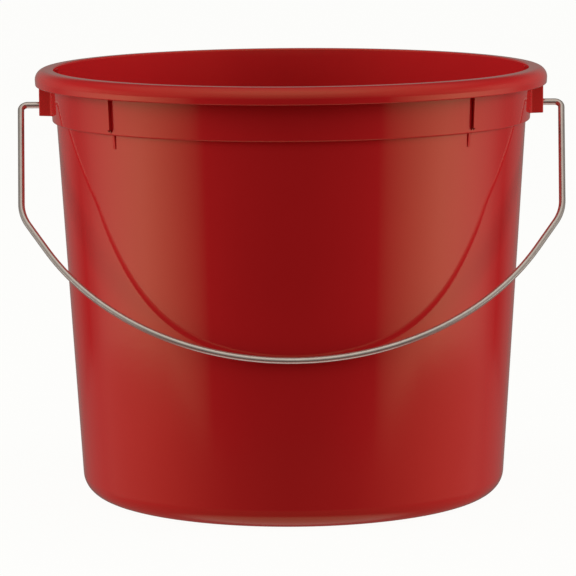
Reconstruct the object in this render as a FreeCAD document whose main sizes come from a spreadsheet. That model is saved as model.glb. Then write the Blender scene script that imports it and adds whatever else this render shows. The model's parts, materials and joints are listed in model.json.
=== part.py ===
import FreeCAD, Part
import math
import os
import Sketcher

# Five-quart wash pail in millimetres: one moulded plastic pail and the steel wire bail that swings on it.
# +Z is up, +X runs along the bail's pivot axis, and -Y is the front, where the bail hangs at rest.
# The origin is the centre of the foot, on the surface that the pail stands on.

DIMENSIONS = [
    ("rim_radius", 110.0, "widest radius of the rolled rim bead"),
    ("pail_height", 184.5, "foot to the crest of the bead"),
    ("wall", 1.5, "wall thickness of the pail"),
    ("floor_wall", 1.8, "thickness of the floor"),
    ("bead_round", 4.4, "outer radius of the bead's section"),
    ("skirt_drop", 2.6, "widest line of the bead to its free lower edge"),
    ("skirt_draft", 3.5, "degrees that the bead's skirt leans in towards that edge"),
    ("lip_edge_round", 0.5, "rounding of the bead's free edge"),
    ("mouth_round", 0.7, "rounding of the mouth's upper edge"),
    ("collar_radius", 102.7, "outer radius of the collar at its foot"),
    ("collar_lean", 0.9, "how much wider the collar is at the crest than at its foot"),
    ("collar_bottom", 162.1, "height of the stacking shoulder under the collar"),
    ("shoulder_round", 0.6, "rounding of the shoulder inside the pail"),
    ("base_radius", 90.95, "radius where the outer wall line would meet the ground"),
    ("wall_draft", 3.5, "degrees that the wall leans out"),
    ("corner_round", 9.5, "outer radius between wall and foot"),
    ("panel_radius", 72.0, "radius of the raised panel under the floor"),
    ("panel_slope", 3.0, "width of the slope between foot ring and panel"),
    ("panel_rise", 2.0, "height of the panel above the ground"),
    ("panel_round", 0.8, "rounding at both ends of the panel's slope"),
    ("gate_radius", 5.0, "radius of the recess around the injection gate"),
    ("gate_depth", 0.5, "depth of that recess"),
    ("ear_face", 108.0, "pail axis to an ear's outer face"),
    ("ear_face_half", 9.0, "half the width of an ear's outer face"),
    ("ear_cheek_angle", 19.0, "degrees that an ear's cheeks widen towards the collar"),
    ("ear_cheek_run", 4.9, "outer face to the start of the cheek's root fillet"),
    ("ear_root_half", 12.0, "half the width of an ear where it leaves the collar"),
    ("ear_root_round", 1.5, "root fillet between cheek and collar"),
    ("ear_corner", 0.5, "setback of the rounded outer corners of an ear"),
    ("ear_wall", 1.6, "thickness of an ear's walls"),
    ("ear_bottom", 164.6, "height of an ear's open lower edge"),
    ("weld", 0.15, "depth that ears and ribs run into the bead and collar"),
    ("pivot_height", 168.5, "height of the bail's pivot axis"),
    ("pivot_clearance", 0.1, "radial play of the wire in an ear's hole"),
    ("rib_azimuth", 46.4, "degrees from front or back to each nesting rib"),
    ("rib_thickness", 1.6, "thickness of a nesting rib"),
    ("rib_proud_collar", 1.4, "how far a rib stands out of the collar"),
    ("rib_proud_wall", 0.8, "how far a rib stands out of the wall just under the shoulder"),
    ("rib_proud_tip", 0.3, "how far a rib still stands out at its lower end"),
    ("rib_step", 164.2, "height where a rib steps in"),
    ("rib_bottom", 156.3, "lower end of a rib"),
    ("wire_radius", 1.4, "radius of the bail's wire"),
    ("wire_end_round", 0.4, "rounding of the wire's cut ends"),
    ("stub_gap", 0.7, "wire end to the radius of the collar's foot"),
    ("arm_offset", 116.35, "pail axis to an arm's centre line at the pivot"),
    ("arm_lean", 2.5, "degrees that an arm leans in towards its kink"),
    ("arm_corner_round", 2.8, "centre-line radius between stub and arm"),
    ("kink_depth", 60.6, "pivot axis to the kink"),
    ("kink_angle", 31.3, "degrees of the wire below the kink from the arms' direction"),
    ("kink_round", 24.0, "centre-line radius of the kink"),
    ("bail_depth", 136.9, "pivot axis to the middle of the bail"),
    ("bail_rest_angle", 45.2, "degrees forward of straight down where the bail rests on the wall"),
]

# Lengths and places that follow from the sheet, as expressions in its aliases.
BEAD_X = "(Dims.rim_radius - Dims.bead_round)"
BEAD_Z = "(Dims.pail_height - Dims.bead_round)"
BEAD_INNER = "(Dims.bead_round - Dims.wall)"
COLLAR_TOP = "(Dims.collar_radius + Dims.collar_lean)"
COLLAR_TOP_Z = f"({BEAD_Z} + sqrt({BEAD_INNER} ^ 2 - ({BEAD_X} - {COLLAR_TOP}) ^ 2))"
COLLAR_IN = "(Dims.collar_radius - Dims.wall)"
MOUTH_TOP = f"({COLLAR_IN} + Dims.collar_lean)"
WALL_SLOPE = "tan(Dims.wall_draft)"
SHOULDER_OUT = f"(Dims.base_radius + Dims.collar_bottom * {WALL_SLOPE})"
SHOULDER_STEP = f"(Dims.collar_radius - {SHOULDER_OUT})"
SHOULDER_TOP = "(Dims.collar_bottom + Dims.wall)"
WALL_IN_BASE = "(Dims.base_radius - Dims.wall / cos(Dims.wall_draft))"
WALL_IN_TOP = f"({WALL_IN_BASE} + ({SHOULDER_TOP} - Dims.shoulder_round) * {WALL_SLOPE})"
CORNER_X = f"(Dims.base_radius + Dims.corner_round * ({WALL_SLOPE} - 1 / cos(Dims.wall_draft)))"
CORNER_INNER = "(Dims.corner_round - Dims.floor_wall)"
CORNER_IN_X = f"({WALL_IN_BASE} + Dims.corner_round * {WALL_SLOPE} - {CORNER_INNER} / cos(Dims.wall_draft))"
PANEL_FOOT = "(Dims.panel_radius + Dims.panel_slope)"
BEAD_ROOF = "(Dims.pail_height - Dims.wall + Dims.weld)"
WELD_RADIUS = "(Dims.collar_radius - Dims.weld)"
STUB_END = "(Dims.collar_radius + Dims.stub_gap)"
ZERO = "0"

IN_PLANE_TOLERANCE = 1e-9
EDGE_TOLERANCE = 0.01


def make_sheet(doc):
    """The driving dimensions, one named cell each."""
    sheet = doc.addObject("Spreadsheet::Sheet", "Dims")
    for row, (alias, value, note) in enumerate(DIMENSIONS, start=1):
        sheet.set(f"A{row}", alias)
        sheet.set(f"B{row}", str(value))
        sheet.set(f"C{row}", note)
        sheet.setAlias(f"B{row}", alias)
    doc.recompute()
    return sheet


def value_of(sketch, expression):
    """The present value of an expression, as a plain number."""
    return float(sketch.evalExpression(expression))


def new_sketch(body, name, plane_role):
    """A sketch on one of the body's own origin planes."""
    sketch = body.newObject("Sketcher::SketchObject", name)
    plane = [item for item in body.Origin.OriginFeatures if item.Role == plane_role][0]
    sketch.AttachmentSupport = [(plane, "")]
    sketch.MapMode = "FlatFace"
    return sketch


def bind_point(sketch, geometry, position, coordinates):
    """Holds one point of the sketch at two expressions, measured from the sketch's origin."""
    for kind, axis, expression in zip(("DistanceX", "DistanceY"), (-2, -1), coordinates):
        value = value_of(sketch, expression)
        if abs(value) < IN_PLANE_TOLERANCE:
            sketch.addConstraint(Sketcher.Constraint("PointOnObject", geometry, position, axis))
        else:
            rule = Sketcher.Constraint(kind, -1, 1, geometry, position, value)
            index = sketch.addConstraint(rule)
            sketch.setExpression(f"Constraints[{index}]", expression)


def line():
    """An edge of a chain that runs straight to the next corner."""
    return None


def arc(centre_x, centre_y, radius, turn):
    """An edge of a chain that curves to the next corner: turn is 1 for anticlockwise, -1 for clockwise."""
    return (centre_x, centre_y, radius, turn)


def draw_chain(sketch, corners, edges):
    """Draws lines and arcs from corner to corner and binds every corner and radius to the sheet.

    The chain closes when it has as many edges as corners.
    """
    points = [FreeCAD.Vector(value_of(sketch, x), value_of(sketch, y), 0) for x, y in corners]
    ends = []
    for index, edge in enumerate(edges):
        start = points[index]
        stop = points[(index + 1) % len(points)]
        if edge is None:
            geometry = sketch.addGeometry(Part.LineSegment(start, stop), False)
            ends.append((geometry, 1, 2))
            continue
        centre_x, centre_y, radius, turn = edge
        centre = FreeCAD.Vector(value_of(sketch, centre_x), value_of(sketch, centre_y), 0)
        circle = Part.Circle(centre, FreeCAD.Vector(0, 0, 1), value_of(sketch, radius))
        first, last = (start, stop) if turn > 0 else (stop, start)
        first_angle = math.atan2(first.y - centre.y, first.x - centre.x)
        last_angle = math.atan2(last.y - centre.y, last.x - centre.x)
        if last_angle <= first_angle:
            last_angle += 2 * math.pi
        geometry = sketch.addGeometry(Part.ArcOfCircle(circle, first_angle, last_angle), False)
        ends.append((geometry, 1, 2) if turn > 0 else (geometry, 2, 1))
    neighbours = list(zip(ends, ends[1:]))
    if len(edges) == len(corners):
        neighbours.append((ends[-1], ends[0]))
    for before, after in neighbours:
        sketch.addConstraint(Sketcher.Constraint("Coincident", before[0], before[2], after[0], after[1]))
    for index, corner in enumerate(corners):
        if index < len(ends):
            bind_point(sketch, ends[index][0], ends[index][1], corner)
        else:
            bind_point(sketch, ends[-1][0], ends[-1][2], corner)
    for index, edge in enumerate(edges):
        if edge is not None:
            rule = Sketcher.Constraint("Radius", ends[index][0], value_of(sketch, edge[2]))
            sketch.setExpression(f"Constraints[{sketch.addConstraint(rule)}]", edge[2])


def draw_circle(sketch, centre, radius):
    """Draws a full circle and binds its centre and radius to the sheet."""
    middle = FreeCAD.Vector(value_of(sketch, centre[0]), value_of(sketch, centre[1]), 0)
    circle = Part.Circle(middle, FreeCAD.Vector(0, 0, 1), value_of(sketch, radius))
    geometry = sketch.addGeometry(circle, False)
    bind_point(sketch, geometry, 3, centre)
    rule = Sketcher.Constraint("Radius", geometry, value_of(sketch, radius))
    sketch.setExpression(f"Constraints[{sketch.addConstraint(rule)}]", radius)


def circular_edges(shape, places):
    """Names of the full circles about the Z axis at the given (radius, height) places."""
    names = []
    for index, edge in enumerate(shape.Edges, start=1):
        curve = edge.Curve
        if not isinstance(curve, Part.Circle):
            continue
        for radius, height in places:
            if abs(curve.Radius - radius) < EDGE_TOLERANCE and abs(curve.Center.z - height) < EDGE_TOLERANCE:
                names.append(f"Edge{index}")
    return names


def shell_section(body):
    """Half section of the pail: from the middle of its underside out, up, over the bead and back inside."""
    sketch = new_sketch(body, "shell_section", "XZ_Plane")
    draft_cos = "cos(Dims.wall_draft)"
    draft_sin = "sin(Dims.wall_draft)"
    skirt_cos = "cos(Dims.skirt_draft)"
    skirt_sin = "sin(Dims.skirt_draft)"
    skirt_foot = f"({BEAD_Z} - Dims.skirt_drop)"
    skirt_slope = "tan(Dims.skirt_draft)"
    shoulder_in = f"({COLLAR_IN} - Dims.shoulder_round)"
    mouth_x = f"({MOUTH_TOP} + Dims.mouth_round)"
    mouth_z = "(Dims.pail_height - Dims.mouth_round)"
    corner_in_z = f"Dims.corner_round - {CORNER_INNER} * {draft_sin}"
    corners = [
        (ZERO, "Dims.panel_rise"),
        ("Dims.panel_radius", "Dims.panel_rise"),
        (PANEL_FOOT, ZERO),
        (CORNER_X, ZERO),
        (f"{CORNER_X} + Dims.corner_round * {draft_cos}", f"Dims.corner_round * (1 - {draft_sin})"),
        (SHOULDER_OUT, "Dims.collar_bottom"),
        ("Dims.collar_radius", f"Dims.collar_bottom + {SHOULDER_STEP}"),
        (COLLAR_TOP, COLLAR_TOP_Z),
        (f"{BEAD_X} + {BEAD_INNER} * {skirt_cos}", f"{BEAD_Z} - {BEAD_INNER} * {skirt_sin}"),
        (f"{BEAD_X} + {BEAD_INNER} / {skirt_cos} - Dims.skirt_drop * {skirt_slope}", skirt_foot),
        (f"{BEAD_X} + Dims.bead_round / {skirt_cos} - Dims.skirt_drop * {skirt_slope}", skirt_foot),
        (f"{BEAD_X} + Dims.bead_round * {skirt_cos}", f"{BEAD_Z} - Dims.bead_round * {skirt_sin}"),
        (BEAD_X, "Dims.pail_height"),
        (mouth_x, "Dims.pail_height"),
        (MOUTH_TOP, mouth_z),
        (COLLAR_IN, f"{SHOULDER_TOP} + Dims.shoulder_round"),
        (shoulder_in, SHOULDER_TOP),
        (f"{WALL_IN_TOP} + Dims.shoulder_round", SHOULDER_TOP),
        (WALL_IN_TOP, f"{SHOULDER_TOP} - Dims.shoulder_round"),
        (f"{CORNER_IN_X} + {CORNER_INNER} * {draft_cos}", corner_in_z),
        (CORNER_IN_X, "Dims.floor_wall"),
        (PANEL_FOOT, "Dims.floor_wall"),
        ("Dims.panel_radius", "Dims.panel_rise + Dims.floor_wall"),
        (ZERO, "Dims.panel_rise + Dims.floor_wall"),
    ]
    edges = [
        line(),
        line(),
        line(),
        arc(CORNER_X, "Dims.corner_round", "Dims.corner_round", 1),
        line(),
        arc(SHOULDER_OUT, f"Dims.collar_bottom + {SHOULDER_STEP}", SHOULDER_STEP, 1),
        line(),
        arc(BEAD_X, BEAD_Z, BEAD_INNER, -1),
        line(),
        line(),
        line(),
        arc(BEAD_X, BEAD_Z, "Dims.bead_round", 1),
        line(),
        arc(mouth_x, mouth_z, "Dims.mouth_round", 1),
        line(),
        arc(shoulder_in, f"{SHOULDER_TOP} + Dims.shoulder_round", "Dims.shoulder_round", -1),
        line(),
        arc(
            f"{WALL_IN_TOP} + Dims.shoulder_round",
            f"{SHOULDER_TOP} - Dims.shoulder_round",
            "Dims.shoulder_round",
            1,
        ),
        line(),
        arc(CORNER_IN_X, "Dims.corner_round", CORNER_INNER, -1),
        line(),
        line(),
        line(),
        line(),
    ]
    draw_chain(sketch, corners, edges)
    return sketch


def add_shell(doc, body):
    """The turned part of the pail: floor, wall, shoulder, collar and rolled bead."""
    sketch = shell_section(body)
    doc.recompute()
    shell = body.newObject("PartDesign::Revolution", "shell")
    shell.Profile = sketch
    shell.ReferenceAxis = (sketch, ["V_Axis"])
    shell.Angle = 360
    sketch.Visibility = False
    doc.recompute()
    return shell


def add_edge_rounding(doc, body, name, base, places, radius_alias):
    """Rounds full circles of the shell, found by their radius and height."""
    rounding = body.newObject("PartDesign::Fillet", name)
    rounding.Base = (base, circular_edges(base.Shape, places))
    rounding.setExpression("Radius", f"Dims.{radius_alias}")
    doc.recompute()
    return rounding


def add_gate_recess(doc, body):
    """Shallow round recess around the injection gate, in the middle of the underside."""
    sketch = new_sketch(body, "gate_outline", "XY_Plane")
    sketch.setExpression("AttachmentOffset.Base.z", "Dims.panel_rise")
    draw_circle(sketch, (ZERO, ZERO), "Dims.gate_radius")
    doc.recompute()
    recess = body.newObject("PartDesign::Pocket", "gate_recess")
    recess.Profile = sketch
    recess.Reversed = True
    recess.setExpression("Length", "Dims.gate_depth")
    doc.recompute()
    return recess


def ear_outline(body):
    """Plan of the +X ear: a U of outer face and two cheeks, open towards the collar and downwards."""
    sketch = new_sketch(body, "ear_outline", "XY_Plane")
    sketch.setExpression("AttachmentOffset.Base.z", "Dims.ear_bottom")
    cheek_tan = "tan(Dims.ear_cheek_angle)"
    cheek_cos = "cos(Dims.ear_cheek_angle)"
    cheek_sin = "sin(Dims.ear_cheek_angle)"
    root_x = f"sqrt({WELD_RADIUS} ^ 2 - Dims.ear_root_half ^ 2)"
    cheek_x = "Dims.ear_face - Dims.ear_cheek_run"
    cheek_y = f"(Dims.ear_face_half + Dims.ear_cheek_run * {cheek_tan})"
    fillet_x = f"({cheek_x} + Dims.ear_root_round * {cheek_sin})"
    fillet_y = f"({cheek_y} + Dims.ear_root_round * {cheek_cos})"
    corner_round = "(Dims.ear_corner * tan(45 + Dims.ear_cheek_angle / 2))"
    corner_x = f"(Dims.ear_face - Dims.ear_corner * {cheek_cos})"
    corner_y = f"(Dims.ear_face_half + Dims.ear_corner * {cheek_sin})"
    face_y = "(Dims.ear_face_half - Dims.ear_corner)"
    inner_x = "(Dims.ear_face - Dims.ear_wall)"
    inner_y = f"(Dims.ear_face_half + Dims.ear_wall * {cheek_tan} - Dims.ear_wall / {cheek_cos})"
    mouth_x = f"({WELD_RADIUS} * cos(asin(Dims.ear_face_half / {WELD_RADIUS})))"
    mouth_y = f"({inner_y} + ({inner_x} - {mouth_x}) * {cheek_tan})"
    upper = [
        (root_x, "Dims.ear_root_half"),
        (cheek_x, cheek_y),
        (corner_x, corner_y),
        ("Dims.ear_face", face_y),
    ]
    lower = [(x, f"-1 * {y}") for x, y in reversed(upper)]
    cavity = [
        (mouth_x, f"-1 * {mouth_y}"),
        (inner_x, f"-1 * {inner_y}"),
        (inner_x, inner_y),
        (mouth_x, mouth_y),
    ]
    edges = [
        arc(fillet_x, fillet_y, "Dims.ear_root_round", 1),
        line(),
        arc(f"Dims.ear_face - {corner_round}", face_y, corner_round, -1),
        line(),
        arc(f"Dims.ear_face - {corner_round}", f"-1 * {face_y}", corner_round, -1),
        line(),
        arc(fillet_x, f"-1 * {fillet_y}", "Dims.ear_root_round", 1),
        line(),
        line(),
        line(),
        line(),
        line(),
    ]
    draw_chain(sketch, upper + lower + cavity, edges)
    return sketch


def add_ears(doc, body):
    """Two hollow ears under the bead, each with the hole that a bail stub turns in."""
    outline = ear_outline(body)
    doc.recompute()
    ear = body.newObject("PartDesign::Pad", "ear")
    ear.Profile = outline
    ear.setExpression("Length", f"{BEAD_ROOF} - Dims.ear_bottom")
    doc.recompute()

    hole_outline = new_sketch(body, "pivot_hole_outline", "YZ_Plane")
    hole_outline.setExpression("AttachmentOffset.Base.z", "Dims.ear_face - 2 * Dims.ear_wall")
    hole_centre = (ZERO, "Dims.pivot_height")
    draw_circle(hole_outline, hole_centre, "Dims.wire_radius + Dims.pivot_clearance")
    doc.recompute()
    hole = body.newObject("PartDesign::Pocket", "pivot_hole")
    hole.Profile = hole_outline
    hole.Reversed = True
    hole.setExpression("Length", "3 * Dims.ear_wall")
    doc.recompute()

    other_side = body.newObject("PartDesign::Mirrored", "other_ear")
    other_side.Originals = [ear, hole]
    side_plane = [item for item in body.Origin.OriginFeatures if item.Role == "YZ_Plane"][0]
    other_side.MirrorPlane = (side_plane, [""])
    body.Tip = other_side
    doc.recompute()
    return other_side


def add_rib(doc, body, name, turn):
    """One nesting rib, a thin radial web; turn is the angle from +X in terms of the sheet."""
    sketch = new_sketch(body, f"{name}_outline", "XZ_Plane")
    sketch.AttachmentOffset = FreeCAD.Placement(FreeCAD.Vector(0, 0, 0), FreeCAD.Vector(0, 1, 0), 1)
    sketch.setExpression("AttachmentOffset.Rotation.Angle", turn)
    doc.recompute()
    wall_middle = f"({SHOULDER_OUT} - Dims.wall / 2)"
    tip_wall = f"(Dims.base_radius + Dims.rib_bottom * {WALL_SLOPE})"
    corners = [
        (WELD_RADIUS, BEAD_ROOF),
        (f"{COLLAR_TOP} + Dims.rib_proud_collar", BEAD_ROOF),
        ("Dims.collar_radius + Dims.rib_proud_collar", "Dims.rib_step"),
        (f"{SHOULDER_OUT} + Dims.rib_proud_wall", "Dims.rib_step"),
        (f"{tip_wall} + Dims.rib_proud_tip", "Dims.rib_bottom"),
        (wall_middle, "Dims.rib_bottom"),
        (wall_middle, "Dims.collar_bottom + Dims.wall / 2"),
        (WELD_RADIUS, f"{SHOULDER_TOP} + Dims.wall / 2"),
    ]
    draw_chain(sketch, corners, [line() for corner in corners])
    doc.recompute()
    rib = body.newObject("PartDesign::Pad", name)
    rib.Profile = sketch
    rib.SideType = "Symmetric"
    rib.setExpression("Length", "Dims.rib_thickness")
    doc.recompute()
    return rib


def build_pail(doc):
    """The moulded pail, one piece with its ears and nesting ribs."""
    body = doc.addObject("PartDesign::Body", "pail")
    shell = add_shell(doc, body)
    sheet = doc.getObject("Dims")
    draft = math.radians(sheet.skirt_draft)
    bead_x = sheet.rim_radius - sheet.bead_round
    skirt_foot = sheet.pail_height - sheet.bead_round - sheet.skirt_drop
    lip_edges = []
    for radius in (sheet.bead_round, sheet.bead_round - sheet.wall):
        edge_radius = bead_x + radius / math.cos(draft) - sheet.skirt_drop * math.tan(draft)
        lip_edges.append((edge_radius, skirt_foot))
    lip = add_edge_rounding(doc, body, "lip_rounding", shell, lip_edges, "lip_edge_round")
    slope_ends = [(sheet.panel_radius, sheet.panel_rise), (sheet.panel_radius + sheet.panel_slope, 0.0)]
    add_edge_rounding(doc, body, "panel_rounding", lip, slope_ends, "panel_round")
    add_gate_recess(doc, body)
    add_ears(doc, body)
    rib_turns = {
        "rib_front_right": "Dims.rib_azimuth - 90",
        "rib_back_right": "90 - Dims.rib_azimuth",
        "rib_back_left": "90 + Dims.rib_azimuth",
        "rib_front_left": "270 - Dims.rib_azimuth",
    }
    for name, turn in rib_turns.items():
        add_rib(doc, body, name, turn)
    return body


def bail_route(body):
    """Centre line of the wire, drawn hanging straight down from the pivot axis at the origin."""
    sketch = new_sketch(body, "bail_route", "XZ_Plane")
    lean_sin = "sin(Dims.arm_lean)"
    lean_cos = "cos(Dims.arm_lean)"
    kink_sin = "sin(Dims.kink_angle)"
    kink_cos = "cos(Dims.kink_angle)"
    kink_x = "(Dims.arm_offset - Dims.kink_depth * tan(Dims.arm_lean))"
    arc_depth = (
        f"((Dims.bail_depth - {kink_x} * {kink_cos} - Dims.kink_depth * {kink_sin}) / (1 - {kink_sin}))"
    )
    arc_radius = f"(Dims.bail_depth - {arc_depth})"
    corner_setback = "(Dims.arm_corner_round * tan(45 + Dims.arm_lean / 2))"
    kink_setback = "(Dims.kink_round * tan((Dims.kink_angle - Dims.arm_lean) / 2))"
    above_x = f"({kink_x} + {kink_setback} * {lean_sin})"
    above_z = f"(Dims.kink_depth - {kink_setback} * {lean_cos})"
    right = [
        (STUB_END, ZERO),
        (f"Dims.arm_offset - {corner_setback}", ZERO),
        (f"Dims.arm_offset - {corner_setback} * {lean_sin}", f"-1 * {corner_setback} * {lean_cos}"),
        (above_x, f"-1 * {above_z}"),
        (f"{kink_x} - {kink_setback} * {kink_sin}", f"-1 * (Dims.kink_depth + {kink_setback} * {kink_cos})"),
        (f"{arc_radius} * {kink_cos}", f"-1 * ({arc_depth} + {arc_radius} * {kink_sin})"),
    ]
    left = [(f"-1 * ({x})", z) for x, z in reversed(right)]
    corner_x = f"(Dims.arm_offset - {corner_setback})"
    bend_x = f"({above_x} - Dims.kink_round * {lean_cos})"
    bend_z = f"-1 * ({above_z} - Dims.kink_round * {lean_sin})"
    edges = [
        line(),
        arc(corner_x, "-1 * Dims.arm_corner_round", "Dims.arm_corner_round", -1),
        line(),
        arc(bend_x, bend_z, "Dims.kink_round", -1),
        line(),
        arc(ZERO, f"-1 * {arc_depth}", arc_radius, -1),
        line(),
        arc(f"-1 * {bend_x}", bend_z, "Dims.kink_round", -1),
        line(),
        arc(f"-1 * {corner_x}", "-1 * Dims.arm_corner_round", "Dims.arm_corner_round", -1),
        line(),
    ]
    draw_chain(sketch, right + left, edges)
    return sketch


def build_wire_bail(doc):
    """The bail: one steel wire swept along its route, turned forward to rest against the wall."""
    body = doc.addObject("PartDesign::Body", "wire_bail")
    route = bail_route(body)
    section = new_sketch(body, "wire_section", "YZ_Plane")
    section.setExpression("AttachmentOffset.Base.z", STUB_END)
    draw_circle(section, (ZERO, ZERO), "Dims.wire_radius")
    doc.recompute()
    wire = body.newObject("PartDesign::AdditivePipe", "wire")
    wire.Profile = section
    wire.Spine = (route, [])
    doc.recompute()

    end_x = value_of(section, STUB_END)
    end_edges = []
    for index, edge in enumerate(wire.Shape.Edges, start=1):
        centre = edge.BoundBox.Center
        flat = edge.BoundBox.XLength < EDGE_TOLERANCE
        if flat and abs(abs(centre.x) - end_x) < EDGE_TOLERANCE:
            end_edges.append(f"Edge{index}")
    rounding = body.newObject("PartDesign::Fillet", "wire_end_rounding")
    rounding.Base = (wire, end_edges)
    rounding.setExpression("Radius", "Dims.wire_end_round")

    body.Placement = FreeCAD.Placement(FreeCAD.Vector(0, 0, 0), FreeCAD.Vector(-1, 0, 0), 1)
    body.setExpression("Placement.Base.z", "Dims.pivot_height")
    body.setExpression("Placement.Rotation.Angle", "Dims.bail_rest_angle")
    doc.recompute()
    return body


def check_document(doc, subparts):
    """Stops with a message if any object failed or any sub-part isn't one valid solid."""
    for item in doc.Objects:
        if "Invalid" in item.State or "Error" in item.State:
            raise RuntimeError(f"{item.Name} failed: {item.State}")
    for body in subparts:
        shape = body.Shape
        if shape.isNull() or not shape.isValid() or len(shape.Solids) != 1:
            raise RuntimeError(f"{body.Label} isn't one valid solid")
        box = shape.BoundBox
        print(
            f"{body.Label}: {shape.Volume:.1f} mm3, X {box.XMin:.2f} to {box.XMax:.2f},"
            f" Y {box.YMin:.2f} to {box.YMax:.2f}, Z {box.ZMin:.2f} to {box.ZMax:.2f}"
        )


def main():
    doc = FreeCAD.newDocument("wash_pail")
    make_sheet(doc)
    subparts = [build_pail(doc), build_wire_bail(doc)]
    doc.recompute()
    check_document(doc, subparts)
    os.makedirs("parts", exist_ok=True)
    for body in subparts:
        body.Shape.exportStep(os.path.join("parts", f"{body.Label}.step"))


main()
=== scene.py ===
import json
import math

import bmesh
import bpy
from mathutils import Euler, Matrix, Vector


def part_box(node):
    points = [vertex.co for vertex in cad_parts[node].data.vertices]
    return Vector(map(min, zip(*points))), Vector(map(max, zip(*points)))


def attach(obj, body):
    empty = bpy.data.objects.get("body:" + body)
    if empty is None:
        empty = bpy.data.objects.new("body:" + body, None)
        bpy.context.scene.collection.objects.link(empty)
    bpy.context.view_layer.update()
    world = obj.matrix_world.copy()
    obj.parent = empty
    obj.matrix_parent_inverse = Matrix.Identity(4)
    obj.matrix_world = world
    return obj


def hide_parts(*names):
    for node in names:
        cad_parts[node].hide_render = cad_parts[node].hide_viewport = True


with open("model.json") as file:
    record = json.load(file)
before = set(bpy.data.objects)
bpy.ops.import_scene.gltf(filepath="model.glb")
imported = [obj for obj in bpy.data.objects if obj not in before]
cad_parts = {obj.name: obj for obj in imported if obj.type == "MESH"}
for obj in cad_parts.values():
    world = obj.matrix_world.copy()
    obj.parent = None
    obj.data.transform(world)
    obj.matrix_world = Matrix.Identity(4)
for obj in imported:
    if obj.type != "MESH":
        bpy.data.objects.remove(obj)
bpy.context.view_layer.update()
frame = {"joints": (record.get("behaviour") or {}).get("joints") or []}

# Sizes are in millimetres until a mesh is made. The pail's radius and height and the bail's hinge come from
# the frame.
MM = 0.001
RIM_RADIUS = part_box("pail")[1].x / MM
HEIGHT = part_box("pail")[1].z / MM
PIVOT = Vector(frame["joints"][0]["pos_m"]) / MM
HINGE_AXIS = Vector(frame["joints"][0]["axis"])

# The pail's turned section.
WALL = 1.5
FLOOR_WALL = 1.8
WALL_SLOPE = math.tan(math.radians(3.5))
BASE_RADIUS = 90.95
CORNER_ROUND = 9.5
COLLAR_RADIUS = 102.7
COLLAR_LEAN = 0.9
COLLAR_BOTTOM = 162.1
SHOULDER_ROUND = 0.6
NOOK_ROUND = 0.25
LEDGE_ROUND = 0.6
BEAD_ROUND = 4.4
BEAD_X = RIM_RADIUS - BEAD_ROUND
BEAD_Z = HEIGHT - BEAD_ROUND
SKIRT_DROP = 2.6
SKIRT_DRAFT = math.radians(3.5)
SKIRT_ROUND = 0.5
MOUTH_ROUND = 0.7
PANEL_RADIUS = 72
PANEL_SLOPE = 3
PANEL_RISE = 2
PANEL_ROUND = 0.8
GATE_RADIUS = 5
GATE_DEPTH = 0.5
GATE_ROUND = 0.2
SPRUE_RADIUS = 1.1
SPRUE_LENGTH = 0.4
# Ears and ribs run up to here, just into the roof of the bead.
BEAD_ROOF = HEIGHT - 0.9 * WALL

# Ears.
EAR_FACE = 108
EAR_FACE_HALF = 9
EAR_CHEEK_ANGLE = math.radians(19)
EAR_ROOT_HALF = 12
EAR_ROOT_ROUND = 1.5
EAR_CORNER_ROUND = 0.7
EAR_FLANGE = 2
EAR_FLANGE_RISE = 0.6
EAR_WALL = 1.6
EAR_CAVITY_ROUND = 0.4
EAR_CAVITY_PAST = 1
EAR_BOTTOM = 164.6
EAR_EDGE = 0.3
HOLE_RADIUS = 1.5
HOLE_EDGE = 0.2
CUT_PAST = 0.001

# Nesting ribs.
RIB_AZIMUTHS = [math.radians(turn) for turn in (46.4, 133.6, 226.4, 313.6)]
RIB_HALF = 0.8
RIB_EDGE = 0.25
RIB_PROUD_COLLAR = 1.4
RIB_PROUD_WALL = 0.8
RIB_PROUD_TIP = 0.3
RIB_STEP = 164.2
RIB_BOTTOM = 156.3

# The bail.
WIRE_RADIUS = 1.4
WIRE_END_ROUND = 0.4
WIRE_END = COLLAR_RADIUS + 0.7
ARM_OFFSET = 116.35
ARM_LEAN = math.radians(2.5)
ARM_ROUND = 2.8
KINK_DEPTH = 60.6
KINK_ANGLE = math.radians(31.3)
KINK_ROUND = 24
BAIL_DEPTH = 136.9
BAIL_REST = math.radians(45.2)

# Meshes.
LATHE_STEPS = 256
HOLE_STEPS = 48
WIRE_STEPS = 24
ARC_STEP = math.radians(6)
PLAN_ARC_STEP = math.radians(15)
HOLE_ARC_STEP = math.radians(22.5)
WIRE_ARC_STEP = math.radians(2)
QUARTER = [math.radians(turn) for turn in (0, 30, 60, 90)]
CREASE = math.cos(math.radians(35))
SAME_PLACE = 1e-4

# Finishes.
WIRE_RUN = "wire_run"
PLASTIC_SHADES = ((0.56, 0.0165, 0.0192, 1), (0.62, 0.0187, 0.0216, 1))
PLASTIC_STREAK = (0.50, 0.0145, 0.0170, 1)
PLASTIC_WORN = (0.80, 0.12, 0.12, 1)
PLASTIC_GLOSS = (1.0, 0.95, 0.50, 1)
PLASTIC_ROUGHNESS = (0.055, 0.08)
WORN_HEIGHT = 0.0035
METAL_SHADES = ((0.50, 0.46, 0.43, 1), (0.74, 0.70, 0.66, 1))
METAL_STREAK = (0.50, 0.45, 0.42, 1)
METAL_ROUGHNESS = (0.10, 0.20)
POLISHED_LENGTH = 0.012
PAPER_SHADES = ((0.90, 0.90, 0.88, 1), (0.94, 0.94, 0.92, 1))

# Camera and floor.
CAMERA_PLACE = Vector((-1.87, -1536.8, 306.9)) * MM
CAMERA_PITCH = math.radians(-8.10)
CAMERA_ROLL = math.radians(-0.387)
CAMERA_LENS = 223.6
CAMERA_REACH = 20
BACKDROP = (1.0, 1.0, 0.985, 1)
FLOOR_HALF = 8000
FLOOR_GAP = 0.05
FLOOR_SHADE = 0.04

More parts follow.
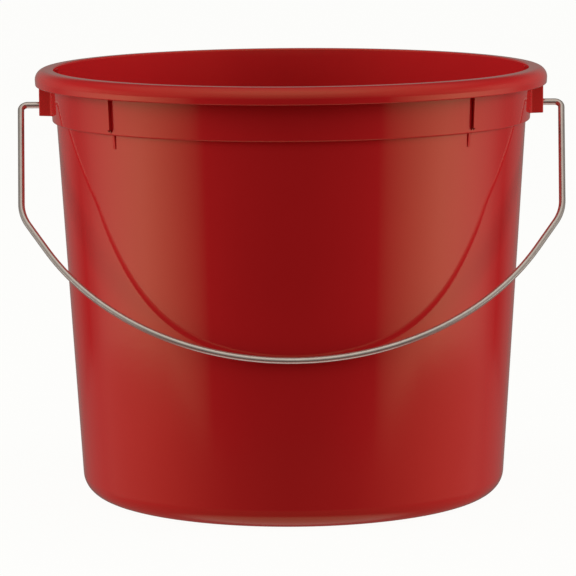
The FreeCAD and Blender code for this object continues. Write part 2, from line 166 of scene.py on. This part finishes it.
# The studio's light, as stops of (degrees, level). The degrees are a turn from the front to the back, the
# same on both sides, except that the overhead light goes by the angle from its middle. The table's far edge
# has its depth below the horizon in degrees instead of a level.
TABLE_EDGE_DEPTH = [(34, 17.5), (52, 16.5), (71, 14.9), (88, 14.0), (115, 12.7), (134, 11.8)]
FAR_TABLE_LEVEL = [
    (28, 0),
    (43, 0.01),
    (48, 0.3),
    (55, 0.6),
    (64, 0.95),
    (73, 1.25),
    (80, 1.4),
    (90, 1.25),
    (100, 0.95),
    (112, 0.55),
    (122, 0.2),
    (131, 0.03),
    (145, 0.15),
    (165, 0.2),
]
NEAR_TABLE_LEVEL = [
    (0, 0.04),
    (30, 0.06),
    (50, 0.13),
    (70, 0.23),
    (90, 0.3),
    (115, 0.29),
    (125, 0.2),
    (180, 0.15),
]
SIDE_LEVEL = [
    (35, 0),
    (42, 0.08),
    (62, 0.22),
    (84, 0.36),
    (104, 0.45),
    (112, 0.35),
    (125, 0.18),
    (180, 0.2),
]
OVERHEAD_LEVEL = [
    (0, 0.9),
    (20, 0.82),
    (30, 0.6),
    (40, 0.45),
    (50, 0.38),
    (60, 0.2),
    (70, 0.08),
    (85, 0.02),
]
OVERHEAD_RISE = math.radians(65)
LIGHT_TINT = (1.13, 1.05, 0.96)
# Below the table's near part comes the ground in the pail's own shade, and then the paper straight down.
SHADE_LIGHT = (0.36, 0.16, 0.14, 1)
DOWN_LIGHT = (0.95, 0.8, 0.75, 1)
# Where one of these gives way to the next, as degrees above the horizon, or past the table's far edge.
EDGE_FADE = (-0.3, 0.3)
TABLE_FADE = (-11, -5)
SIDE_FADE = (10, 35)
SHADE_FADE = (-30, -20)
DOWN_FADE = (-68, -52)

# The lamps, in metres and watts.
SIDE_LAMP_TURN = math.radians(90)
SIDE_LAMP_DISTANCE = 1.3
SIDE_LAMP_RISE = 0.25
SIDE_LAMP_SIZE = 0.8
SIDE_LAMP_POWER = 7.9


# Outlines: a corner is (x, y, radius of its rounding), and an outline becomes straight and round stretches.


def rounded(corners, closed=False):
    """Stretches of an outline as (start, end, centre), where centre is None on a straight stretch."""
    points = [Vector(corner[:2]) for corner in corners]
    count = len(points)
    cuts = []
    for index, (x, y, radius) in enumerate(corners):
        here = points[index]
        before = points[index - 1] - here
        after = points[(index + 1) % count] - here
        inner = closed or 0 < index < count - 1
        if not inner or not radius:
            cuts.append((here, here, None))
            continue
        half = before.angle(after) / 2
        reach = radius / math.tan(half)
        middle = (before.normalized() + after.normalized()).normalized()
        centre = here + middle * radius / math.sin(half)
        cuts.append((here + before.normalized() * reach, here + after.normalized() * reach, centre))
    stretches = []
    for index, (start, end, centre) in enumerate(cuts):
        if centre:
            stretches.append((start, end, centre))
        following = cuts[(index + 1) % count][0]
        last = index == count - 1 and not closed
        if not last and (following - end).length > SAME_PLACE:
            stretches.append((end, following, None))
    return stretches


def sweep_of(stretch):
    """The signed angle that a round stretch turns about its centre."""
    start, end, centre = stretch
    arm = start - centre
    return math.atan2(arm.cross(end - centre), arm.dot(end - centre))


def points_along(stretch, step):
    """Points of a stretch from its start up to, but without, its end."""
    start, end, centre = stretch
    if centre is None:
        return [start]
    turn = sweep_of(stretch)
    count = max(1, math.ceil(abs(turn) / step))
    return [centre + Matrix.Rotation(turn * k / count, 2) @ (start - centre) for k in range(count)]


def side_normal(stretch, point):
    """The unit vector to the right of the way the stretch runs."""
    start, end, centre = stretch
    if centre is None:
        run = (end - start).normalized()
        return Vector((run.y, -run.x))
    outward = (point - centre).normalized()
    return outward if sweep_of(stretch) > 0 else -outward


# Tools for meshes.


def new_mesh(name, bm):
    """A mesh from bmesh work in millimetres."""
    bmesh.ops.recalc_face_normals(bm, faces=bm.faces)
    mesh = bpy.data.meshes.new(name)
    bm.transform(Matrix.Scale(MM, 4))
    bm.to_mesh(mesh)
    bm.free()
    return mesh


def new_object(name, mesh):
    """An object of the mesh, in the scene."""
    piece = bpy.data.objects.new(name, mesh)
    bpy.context.scene.collection.objects.link(piece)
    return piece


def lathe(bm, stretches, steps, arc_step, mark=None):
    """Turns stretches of (radius, height) about Z. The first and last points lie on the axis."""
    rows = []
    for index, stretch in enumerate(stretches):
        rows.extend((point, index) for point in points_along(stretch, arc_step))
    rows.append((stretches[-1][1], len(stretches) - 1))
    ways = [(math.cos(2 * math.pi * k / steps), math.sin(2 * math.pi * k / steps)) for k in range(steps)]
    rings = []
    for point, index in rows:
        if abs(point.x) < SAME_PLACE:
            rings.append([bm.verts.new((0, 0, point.y))] * steps)
        else:
            rings.append([bm.verts.new((point.x * x, point.x * y, point.y)) for x, y in ways])
    for row in range(len(rings) - 1):
        lower, upper = rings[row], rings[row + 1]
        for k in range(steps):
            around = [lower[k], lower[(k + 1) % steps], upper[(k + 1) % steps], upper[k]]
            face = bm.faces.new(list(dict.fromkeys(around)))
            if mark:
                face[mark] = rows[row][1] + 1


def prism(bm, stretches, low, high, low_edge, high_edge, place):
    """Extrudes a closed outline along Z from low to high, with rounded edges, and puts it in place."""
    outline = []
    for stretch in stretches:
        outline.extend(points_along(stretch, PLAN_ARC_STEP))
    count = len(outline)
    runs = [(outline[(k + 1) % count] - outline[k]).normalized() for k in range(count)]
    sides = [Vector((run.y, -run.x)) for run in runs]
    mitres = [(sides[k - 1] + sides[k]) / (1 + sides[k - 1].dot(sides[k])) for k in range(count)]
    levels = [(low + low_edge * (1 - math.cos(a)), low_edge * (1 - math.sin(a))) for a in QUARTER]
    levels += [(high - high_edge * (1 - math.cos(a)), high_edge * (1 - math.sin(a))) for a in QUARTER[::-1]]
    spare = len(QUARTER) - 1
    if not low_edge:
        levels = levels[spare:]
    if not high_edge:
        levels = levels[:-spare]
    rings = []
    for height, inset in levels:
        ring = [point - mitre * inset for point, mitre in zip(outline, mitres)]
        rings.append([bm.verts.new(place @ Vector((point.x, point.y, height))) for point in ring])
    for lower, upper in zip(rings, rings[1:]):
        for k in range(count):
            bm.faces.new((lower[k], lower[(k + 1) % count], upper[(k + 1) % count], upper[k]))
    bm.faces.new(rings[0][::-1])
    bm.faces.new(rings[-1])


def combine(piece, tool, operation):
    """Joins the tool to the piece, or cuts it out, and leaves one closed mesh."""
    change = piece.modifiers.new(operation, "BOOLEAN")
    change.operation = operation
    change.solver = "MANIFOLD"
    change.object = tool
    depsgraph = bpy.context.evaluated_depsgraph_get()
    result = bpy.data.meshes.new_from_object(piece.evaluated_get(depsgraph))
    piece.modifiers.remove(change)
    piece.data = result
    bpy.data.objects.remove(tool)


def shade(mesh, stretches=()):
    """Gives marked faces the exact normals of the turned section, and rounds the others up to a crease."""
    marks = mesh.attributes.get("stretch")
    around = [[] for vertex in mesh.vertices]
    for face in mesh.polygons:
        for corner in face.vertices:
            around[corner].append(face)
    normals = []
    for face in mesh.polygons:
        mark = marks.data[face.index].value if marks else 0
        for corner in face.vertices:
            place = mesh.vertices[corner].co / MM
            radius = math.hypot(place.x, place.y)
            if mark and radius > SAME_PLACE:
                section = side_normal(stretches[mark - 1], Vector((radius, place.z)))
                outward = Vector((place.x, place.y, 0)) / radius
                normals.append(outward * section.x + Vector((0, 0, section.y)))
            elif mark:
                normals.append(face.normal.copy())
            else:
                near = [other for other in around[corner] if other.normal.dot(face.normal) > CREASE]
                total = sum((other.normal * other.area for other in near), Vector())
                normals.append(total.normalized())
    mesh.normals_split_custom_set(normals)


# The pail.


def bead_corner(radius, start, end):
    """Where the tangents of the bead's section meet, between two angles in degrees."""
    half = math.radians(end - start) / 2
    middle = math.radians(start) + half
    reach = radius / math.cos(half)
    return (BEAD_X + reach * math.cos(middle), BEAD_Z + reach * math.sin(middle), radius)


def skirt_corner(radius):
    """A corner of the bead's free lower edge, at the foot of its nearly upright skirt."""
    reach = radius / math.cos(SKIRT_DRAFT) - SKIRT_DROP * math.tan(SKIRT_DRAFT)
    return (BEAD_X + reach, BEAD_Z - SKIRT_DROP, SKIRT_ROUND)


def pail_section():
    """Half section of the turned shell, from the middle of its underside to the middle of its floor."""
    inner = BEAD_ROUND - WALL
    collar_top = COLLAR_RADIUS + COLLAR_LEAN
    collar_top_angle = 180 - math.degrees(math.acos((BEAD_X - collar_top) / inner))
    collar_top_z = BEAD_Z + math.sqrt(inner**2 - (BEAD_X - collar_top) ** 2)
    wall_in = BASE_RADIUS - WALL * math.hypot(1, WALL_SLOPE)
    ledge = COLLAR_BOTTOM + WALL
    skirt = -math.degrees(SKIRT_DRAFT)
    gate_roof = PANEL_RISE + GATE_DEPTH
    return rounded([
        (0, gate_roof - SPRUE_LENGTH, 0),
        (SPRUE_RADIUS - GATE_ROUND, gate_roof - SPRUE_LENGTH, GATE_ROUND / 2),
        (SPRUE_RADIUS, gate_roof, GATE_ROUND / 2),
        (GATE_RADIUS, gate_roof, GATE_ROUND),
        (GATE_RADIUS, PANEL_RISE, GATE_ROUND),
        (PANEL_RADIUS, PANEL_RISE, PANEL_ROUND),
        (PANEL_RADIUS + PANEL_SLOPE, 0, PANEL_ROUND),
        (BASE_RADIUS, 0, CORNER_ROUND),
        (BASE_RADIUS + COLLAR_BOTTOM * WALL_SLOPE, COLLAR_BOTTOM, NOOK_ROUND),
        (COLLAR_RADIUS, COLLAR_BOTTOM, SHOULDER_ROUND),
        (collar_top, collar_top_z, 0),
        bead_corner(inner, collar_top_angle, collar_top_angle / 2),
        bead_corner(inner, collar_top_angle / 2, skirt),
        skirt_corner(inner),
        skirt_corner(BEAD_ROUND),
        bead_corner(BEAD_ROUND, skirt, 90),
        (COLLAR_RADIUS - WALL + COLLAR_LEAN, HEIGHT, MOUTH_ROUND),
        (COLLAR_RADIUS - WALL, ledge, LEDGE_ROUND),
        (wall_in + ledge * WALL_SLOPE, ledge, LEDGE_ROUND),
        (wall_in + FLOOR_WALL * WALL_SLOPE, FLOOR_WALL, CORNER_ROUND - FLOOR_WALL),
        (PANEL_RADIUS + PANEL_SLOPE, FLOOR_WALL, PANEL_ROUND),
        (PANEL_RADIUS, PANEL_RISE + FLOOR_WALL, PANEL_ROUND),
        (0, PANEL_RISE + FLOOR_WALL, 0),
    ])


def ear_outline():
    """Plan of the +X ear, a U that opens towards the collar."""
    spread = math.tan(EAR_CHEEK_ANGLE)
    root = COLLAR_RADIUS - WALL / 2
    root_x = math.sqrt(root**2 - EAR_ROOT_HALF**2)
    collar_x = math.sqrt(COLLAR_RADIUS**2 - EAR_ROOT_HALF**2)
    inner_half = EAR_FACE_HALF - EAR_WALL * (1 / math.cos(EAR_CHEEK_ANGLE) - spread)
    inner_x = EAR_FACE - EAR_WALL
    mouth_x = root - EAR_CAVITY_PAST
    flange_x = collar_x + EAR_FLANGE_RISE
    right = [
        (root_x, -EAR_ROOT_HALF - EAR_FLANGE, 0),
        (collar_x, -EAR_ROOT_HALF - EAR_FLANGE, 0),
        (flange_x, -EAR_FACE_HALF - (EAR_FACE - flange_x) * spread, EAR_ROOT_ROUND),
        (EAR_FACE, -EAR_FACE_HALF, EAR_CORNER_ROUND),
    ]
    left = [(x, -y, radius) for x, y, radius in reversed(right)]
    cavity = [
        (mouth_x, inner_half + (inner_x - mouth_x) * spread, 0),
        (inner_x, inner_half, EAR_CAVITY_ROUND),
        (inner_x, -inner_half, EAR_CAVITY_ROUND),
        (mouth_x, -inner_half - (inner_x - mouth_x) * spread, 0),
    ]
    return rounded(right + left + cavity, closed=True)


def rib_outline():
    """Side view of a nesting rib as (radius, height)."""
    buried = WALL / 2
    wall_top = BASE_RADIUS + COLLAR_BOTTOM * WALL_SLOPE
    wall_tip = BASE_RADIUS + RIB_BOTTOM * WALL_SLOPE
    return rounded(
        [
            (wall_tip - buried, RIB_BOTTOM, 0),
            (wall_tip + RIB_PROUD_TIP, RIB_BOTTOM, 0),
            (wall_top + RIB_PROUD_WALL, RIB_STEP, RIB_EDGE),
            (COLLAR_RADIUS + RIB_PROUD_COLLAR, RIB_STEP, RIB_EDGE),
            (COLLAR_RADIUS + COLLAR_LEAN + RIB_PROUD_COLLAR, BEAD_ROOF + RIB_EDGE, 0),
            (COLLAR_RADIUS + COLLAR_LEAN - buried, BEAD_ROOF + RIB_EDGE, 0),
            (COLLAR_RADIUS - buried, COLLAR_BOTTOM + buried, 0),
            (wall_top - buried, COLLAR_BOTTOM + buried, 0),
        ],
        closed=True,
    )


def moulded_pail():
    """The pail as one moulding: turned shell, two hollow ears with their holes, and four nesting ribs."""
    section = pail_section()
    bm = bmesh.new()
    mark = bm.faces.layers.int.new("stretch")
    lathe(bm, section, LATHE_STEPS, ARC_STEP, mark)
    pail = new_object("moulded_pail", new_mesh("moulded_pail", bm))
    for side in (0, math.pi):
        turn = Matrix.Rotation(side, 4, "Z")
        bm = bmesh.new()
        prism(bm, ear_outline(), EAR_BOTTOM, BEAD_ROOF, EAR_EDGE, 0, turn)
        combine(pail, new_object("ear", new_mesh("ear", bm)), "UNION")
        bm = bmesh.new()
        cutter = [
            (0, EAR_FACE - 2 * EAR_WALL, 0),
            (HOLE_RADIUS, EAR_FACE - 2 * EAR_WALL, 0),
            (HOLE_RADIUS, EAR_FACE + CUT_PAST, HOLE_EDGE),
            (2 * HOLE_RADIUS, EAR_FACE + CUT_PAST, 0),
            (2 * HOLE_RADIUS, EAR_FACE + EAR_WALL, 0),
            (0, EAR_FACE + EAR_WALL, 0),
        ]
        lathe(bm, rounded(cutter), HOLE_STEPS, HOLE_ARC_STEP)
        across = turn @ Matrix.Translation((0, 0, PIVOT.z)) @ Matrix.Rotation(math.pi / 2, 4, "Y")
        bm.transform(across)
        combine(pail, new_object("hole", new_mesh("hole", bm)), "DIFFERENCE")
    for azimuth in RIB_AZIMUTHS:
        bm = bmesh.new()
        upright = Matrix.Rotation(azimuth - math.pi / 2, 4, "Z") @ Matrix.Rotation(math.pi / 2, 4, "X")
        prism(bm, rib_outline(), -RIB_HALF, RIB_HALF, RIB_EDGE, RIB_EDGE, upright)
        combine(pail, new_object("rib", new_mesh("rib", bm)), "UNION")
    shade(pail.data, section)
    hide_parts("pail")
    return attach(pail, "pail")


# The bail.


def bail_route():
    """Centre line of the wire as (x, z), hanging straight down from a pivot axis at the origin."""
    kink_x = ARM_OFFSET - KINK_DEPTH * math.tan(ARM_LEAN)
    right = [
        (WIRE_END, 0, 0),
        (ARM_OFFSET, 0, ARM_ROUND),
        (kink_x, -KINK_DEPTH, KINK_ROUND),
    ]
    kink_cos, kink_sin = math.cos(KINK_ANGLE), math.sin(KINK_ANGLE)
    arc_centre = (BAIL_DEPTH - kink_x * kink_cos - KINK_DEPTH * kink_sin) / (1 - kink_sin)
    arc_radius = BAIL_DEPTH - arc_centre
    bottom = (0, -arc_centre - arc_radius / kink_sin, arc_radius)
    left = [(-x, z, radius) for x, z, radius in reversed(right)]
    return rounded(right + [bottom] + left)


def end_rings(point, inward):
    """Rings of a rounded cut end as (centre, radius), from its flat face to the full wire."""
    rings = []
    for turn in QUARTER:
        centre = point + inward * WIRE_END_ROUND * (1 - math.cos(turn))
        rings.append((centre, WIRE_RADIUS - WIRE_END_ROUND * (1 - math.sin(turn))))
    return rings


def swept_bail():
    """The bail: one round wire along its route, turned forward to where it rests on the wall."""
    route = bail_route()
    stations = []
    for stretch in route:
        for point in points_along(stretch, WIRE_ARC_STEP):
            stations.append((point, side_normal(stretch, point), WIRE_RADIUS))
    first, last = route[0], route[-1]
    first_side = side_normal(first, first[0])
    last_side = side_normal(last, last[1])
    head = end_rings(first[0], (first[1] - first[0]).normalized())
    tail = end_rings(last[1], (last[0] - last[1]).normalized())
    stations = [(centre, first_side, radius) for centre, radius in head] + stations[1:]
    stations += [(centre, last_side, radius) for centre, radius in tail[::-1]]

    bm = bmesh.new()
    run = bm.loops.layers.uv.new(WIRE_RUN)
    rings = []
    lengths = []
    travelled = 0
    previous = stations[0][0]
    for centre, side, radius in stations:
        travelled += (centre - previous).length * MM
        previous = centre
        lengths.append(travelled)
        ring = []
        for k in range(WIRE_STEPS):
            turn = 2 * math.pi * k / WIRE_STEPS
            spot = centre + side * radius * math.cos(turn)
            ring.append(bm.verts.new((spot.x, radius * math.sin(turn), spot.y)))
        rings.append(ring)
    for index, (lower, upper) in enumerate(zip(rings, rings[1:])):
        for k in range(WIRE_STEPS):
            following = (k + 1) % WIRE_STEPS
            face = bm.faces.new((lower[k], lower[following], upper[following], upper[k]))
            shares = (k, k + 1, k + 1, k)
            places = (lengths[index], lengths[index], lengths[index + 1], lengths[index + 1])
            for loop, share, place in zip(face.loops, shares, places):
                loop[run].uv = (place, share / WIRE_STEPS)
    for ring, length in ((rings[0][::-1], 0), (rings[-1], travelled)):
        cap = bm.faces.new(ring)
        for loop in cap.loops:
            loop[run].uv = (length, 0)
    bm.transform(Matrix.Translation(PIVOT) @ Matrix.Rotation(BAIL_REST, 4, HINGE_AXIS))
    bail = new_object("swept_bail", new_mesh("swept_bail", bm))
    shade(bail.data)
    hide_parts("wire_bail")
    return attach(bail, "bail")


# Materials.


def feed(tree, socket, value):
    """Gives an input socket a plain value, or links another node's output to it."""
    if isinstance(value, bpy.types.NodeSocket):
        tree.links.new(value, socket)
    else:
        socket.default_value = value


def add_node(tree, kind, inputs=None, **settings):
    """A new node with the given settings and inputs."""
    node = tree.nodes.new(kind)
    for name, value in settings.items():
        setattr(node, name, value)
    for key, value in (inputs or {}).items():
        feed(tree, node.inputs[key], value)
    return node


def math_of(tree, operation, *values):
    """The result of a Math node."""
    return add_node(tree, "ShaderNodeMath", dict(enumerate(values)), operation=operation).outputs[0]


def remap(tree, value, old, new, smooth=False):
    """The value's range old taken to the range new, and held at its ends."""
    kind = "SMOOTHSTEP" if smooth else "LINEAR"
    inputs = {"Value": value, "From Min": old[0], "From Max": old[1], "To Min": new[0], "To Max": new[1]}
    return add_node(tree, "ShaderNodeMapRange", inputs, interpolation_type=kind).outputs["Result"]


def blend(tree, share, first, second):
    """Two colours mixed by a share."""
    node = add_node(tree, "ShaderNodeMix", {0: share}, data_type="RGBA")
    feed(tree, node.inputs[6], first)
    feed(tree, node.inputs[7], second)
    return node.outputs[2]


def stretched(tree, vector, scale):
    """A texture coordinate scaled along each axis."""
    return add_node(tree, "ShaderNodeMapping", {"Vector": vector, "Scale": scale}).outputs["Vector"]


def noise(tree, vector, scale, detail=3, roughness=0.5):
    """Fractal noise between 0 and 1."""
    inputs = {"Vector": vector, "Scale": scale, "Detail": detail, "Roughness": roughness}
    return add_node(tree, "ShaderNodeTexNoise", inputs).outputs["Fac"]


def new_material(name):
    """A material with its node tree and its main shader."""
    material = bpy.data.materials.new(name)
    material.use_nodes = True
    tree = material.node_tree
    return material, tree, tree.nodes["Principled BSDF"]


def feed_all(tree, shader, values):
    """Sets the shader's named inputs."""
    for name, value in values.items():
        feed(tree, shader.inputs[name], value)


def red_plastic():
    """Glossy moulded plastic: faint flow marks and orange peel, fine scuffs, and a worn foot."""
    material, tree, shader = new_material("red_plastic")
    place = add_node(tree, "ShaderNodeTexCoord").outputs["Object"]
    height = add_node(tree, "ShaderNodeSeparateXYZ", {0: place}).outputs["Z"]
    clouds = noise(tree, place, 22, 4)
    flow = noise(tree, stretched(tree, place, (1, 1, 0.06)), 260, 3)
    peel = noise(tree, place, 420, 2)
    scratch_lines = noise(tree, stretched(tree, place, (1, 1, 0.12)), 1500, 2, 0.7)
    scratch_areas = remap(tree, noise(tree, place, 35, 3), (0.52, 0.7), (0, 1))
    scratches = math_of(tree, "MULTIPLY", remap(tree, scratch_lines, (0.62, 0.72), (0, 1)), scratch_areas)
    foot = remap(tree, height, (0, WORN_HEIGHT), (1, 0), smooth=True)
    rubbed = remap(tree, noise(tree, place, 900, 4, 0.7), (0.35, 0.65), (0, 1))
    foot_wear = math_of(tree, "MULTIPLY", foot, rubbed)

    colour = blend(tree, clouds, *PLASTIC_SHADES)
    colour = blend(tree, math_of(tree, "MULTIPLY", flow, 0.10), colour, PLASTIC_STREAK)
    colour = blend(tree, math_of(tree, "MULTIPLY", foot_wear, 0.25), colour, PLASTIC_WORN)

    roughness = remap(tree, clouds, (0.3, 0.7), PLASTIC_ROUGHNESS)
    roughness = math_of(tree, "ADD", roughness, math_of(tree, "MULTIPLY", scratches, 0.12))
    roughness = math_of(tree, "ADD", roughness, math_of(tree, "MULTIPLY", foot_wear, 0.35))

    relief = math_of(tree, "ADD", peel, math_of(tree, "MULTIPLY", flow, 0.4))
    relief = math_of(tree, "SUBTRACT", relief, math_of(tree, "MULTIPLY", scratches, 0.3))
    bump = add_node(tree, "ShaderNodeBump", {"Height": relief, "Strength": 0.12, "Distance": 0.00004})
    feed_all(tree, shader, {
        "Base Color": colour,
        "Roughness": roughness,
        "IOR": 1.5,
        "Specular Tint": PLASTIC_GLOSS,
        "Normal": bump.outputs["Normal"],
    })
    return material


def plated_wire():
    """Plated drawn wire: streaks along its run, dull mottling, and polish where the run starts."""
    material, tree, shader = new_material("plated_wire")
    run = add_node(tree, "ShaderNodeUVMap", uv_map=WIRE_RUN).outputs["UV"]
    parts = add_node(tree, "ShaderNodeSeparateXYZ", {0: run})
    along = parts.outputs["X"]
    turn = math_of(tree, "MULTIPLY", parts.outputs["Y"], 2 * math.pi)
    skin = add_node(tree, "ShaderNodeCombineXYZ", {
        0: along,
        1: math_of(tree, "MULTIPLY", math_of(tree, "COSINE", turn), WIRE_RADIUS * MM),
        2: math_of(tree, "MULTIPLY", math_of(tree, "SINE", turn), WIRE_RADIUS * MM),
    }).outputs["Vector"]
    drawn = noise(tree, stretched(tree, skin, (0.03, 1, 1)), 4500, 3, 0.6)
    mottle = noise(tree, skin, 300, 4, 0.6)
    dull = noise(tree, stretched(tree, skin, (0.3, 1, 1)), 120, 3)
    polish = remap(tree, along, (0, POLISHED_LENGTH), (1, 0), smooth=True)

    metal = blend(tree, mottle, *METAL_SHADES)
    metal = blend(tree, math_of(tree, "MULTIPLY", drawn, 0.35), metal, METAL_STREAK)
    roughness = remap(tree, dull, (0.3, 0.7), METAL_ROUGHNESS)
    roughness = math_of(tree, "ADD", roughness, math_of(tree, "MULTIPLY", drawn, 0.08))
    roughness = math_of(tree, "SUBTRACT", roughness, math_of(tree, "MULTIPLY", polish, 0.08))
    bump = add_node(tree, "ShaderNodeBump", {"Height": drawn, "Strength": 0.08, "Distance": 0.00003})
    feed_all(tree, shader, {
        "Base Color": metal,
        "Metallic": 0.8,
        "Roughness": roughness,
        "Normal": bump.outputs["Normal"],
    })
    return material


def pale_floor():
    """Evenly lit pale paper, with only a trace of shadow."""
    material = bpy.data.materials.new("pale_paper")
    material.use_nodes = True
    tree = material.node_tree
    tree.nodes.clear()
    place = add_node(tree, "ShaderNodeTexCoord").outputs["Object"]
    grain = noise(tree, place, 600, 3)
    paper = blend(tree, grain, *PAPER_SHADES)
    glow = add_node(tree, "ShaderNodeEmission", {"Color": BACKDROP, "Strength": 1.0})
    sheet = add_node(tree, "ShaderNodeBsdfDiffuse", {"Color": paper})
    mix = add_node(tree, "ShaderNodeMixShader", {0: FLOOR_SHADE, 1: glow.outputs[0], 2: sheet.outputs[0]})
    add_node(tree, "ShaderNodeOutputMaterial", {"Surface": mix.outputs[0]})
    return material


def dress(piece, material):
    """Makes the material the piece's only one."""
    piece.data.materials.clear()
    piece.data.materials.append(material)


# The studio.


def ramp(tree, degrees, stops):
    """A level that follows stops over 0 to 180 degrees."""
    node = add_node(tree, "ShaderNodeValToRGB", {0: math_of(tree, "DIVIDE", degrees, 180)})
    elements = node.color_ramp.elements
    while len(elements) < len(stops):
        elements.new(0.5)
    for element, (stop, level) in zip(elements, stops):
        element.position = stop / 180
        element.color = (level, level, level, 1)
    return node.outputs["Color"]


def studio_world():
    """A bright table's far part to both sides, dim sides above it, and a soft light overhead.

    The camera sees only a white backdrop.
    """
    world = bpy.data.worlds.new("studio")
    bpy.context.scene.world = world
    world.use_nodes = True
    tree = world.node_tree
    tree.nodes.clear()
    way = add_node(tree, "ShaderNodeTexCoord").outputs["Generated"]
    axes = add_node(tree, "ShaderNodeSeparateXYZ", {0: way})
    side = math_of(tree, "ABSOLUTE", axes.outputs["X"])
    front = math_of(tree, "MULTIPLY", axes.outputs["Y"], -1)
    turn = math_of(tree, "DEGREES", math_of(tree, "ARCTAN2", side, front))
    rise = math_of(tree, "DEGREES", math_of(tree, "ARCSINE", axes.outputs["Z"]))
    overhead = (0, -math.cos(OVERHEAD_RISE), math.sin(OVERHEAD_RISE))
    facing = add_node(tree, "ShaderNodeVectorMath", {0: way, 1: overhead}, operation="DOT_PRODUCT")
    off_overhead = math_of(tree, "DEGREES", math_of(tree, "ARCCOSINE", facing.outputs["Value"]))

    past_edge = math_of(tree, "ADD", rise, ramp(tree, turn, TABLE_EDGE_DEPTH))
    near = ramp(tree, turn, NEAR_TABLE_LEVEL)
    far = ramp(tree, turn, FAR_TABLE_LEVEL)
    table = remap(tree, past_edge, EDGE_FADE, (near, far), smooth=True)
    low = remap(tree, rise, SIDE_FADE, (1, 0), smooth=True)
    sides = math_of(tree, "MULTIPLY", ramp(tree, turn, SIDE_LEVEL), low)
    above = math_of(tree, "ADD", sides, ramp(tree, off_overhead, OVERHEAD_LEVEL))
    level = remap(tree, rise, TABLE_FADE, (table, above), smooth=True)
    tinted = add_node(tree, "ShaderNodeVectorMath", {0: LIGHT_TINT, "Scale": level}, operation="SCALE")
    shaded = remap(tree, rise, SHADE_FADE, (1, 0), smooth=True)
    down = remap(tree, rise, DOWN_FADE, (1, 0), smooth=True)
    light = blend(tree, shaded, tinted.outputs[0], SHADE_LIGHT)
    light = blend(tree, down, light, DOWN_LIGHT)

    seen = add_node(tree, "ShaderNodeBackground", {"Color": BACKDROP})
    lit = add_node(tree, "ShaderNodeBackground", {"Color": light})
    to_eye = add_node(tree, "ShaderNodeLightPath").outputs["Is Camera Ray"]
    mix = add_node(tree, "ShaderNodeMixShader", {0: to_eye, 1: lit.outputs[0], 2: seen.outputs[0]})
    add_node(tree, "ShaderNodeOutputWorld", {"Surface": mix.outputs[0]})


def side_lamp(name, side):
    """A big soft lamp at one side that lights the pail without showing in its gloss."""
    data = bpy.data.lights.new(name, "AREA")
    data.shape = "DISK"
    data.size = SIDE_LAMP_SIZE
    data.energy = SIDE_LAMP_POWER
    lamp = bpy.data.objects.new(name, data)
    bpy.context.scene.collection.objects.link(lamp)
    way = Vector((side * math.sin(SIDE_LAMP_TURN), -math.cos(SIDE_LAMP_TURN), SIDE_LAMP_RISE)).normalized()
    middle = Vector((0, 0, HEIGHT / 2)) * MM
    aim = way.to_track_quat("Z", "Y").to_matrix().to_4x4()
    lamp.matrix_world = Matrix.Translation(middle + way * SIDE_LAMP_DISTANCE) @ aim
    lamp.visible_glossy = False
    lamp.visible_camera = False


def studio_floor():
    """A wide sheet under the pail. It hides its own mirror image, so the wall mirrors only the studio."""
    bm = bmesh.new()
    below = Matrix.Translation((0, 0, -FLOOR_GAP))
    bmesh.ops.create_grid(bm, x_segments=1, y_segments=1, size=FLOOR_HALF, matrix=below)
    floor = new_object("floor", new_mesh("floor", bm))
    dress(floor, pale_floor())
    floor.visible_glossy = False
    floor.visible_diffuse = False


def studio_camera():
    """A long lens in front of the pail, a little above it."""
    data = bpy.data.cameras.new("camera")
    data.lens = CAMERA_LENS
    data.clip_end = CAMERA_REACH
    camera = bpy.data.objects.new("camera", data)
    bpy.context.scene.collection.objects.link(camera)
    level = Euler((math.pi / 2 + CAMERA_PITCH, 0, 0)).to_matrix().to_4x4()
    camera.matrix_world = Matrix.Translation(CAMERA_PLACE) @ level @ Matrix.Rotation(CAMERA_ROLL, 4, "Z")
    bpy.context.scene.camera = camera
    bpy.context.scene.view_settings.view_transform = "Standard"


studio_camera()
studio_world()
side_lamp("left_lamp", -1)
side_lamp("right_lamp", 1)
studio_floor()
dress(moulded_pail(), red_plastic())
dress(swept_bail(), plated_wire())
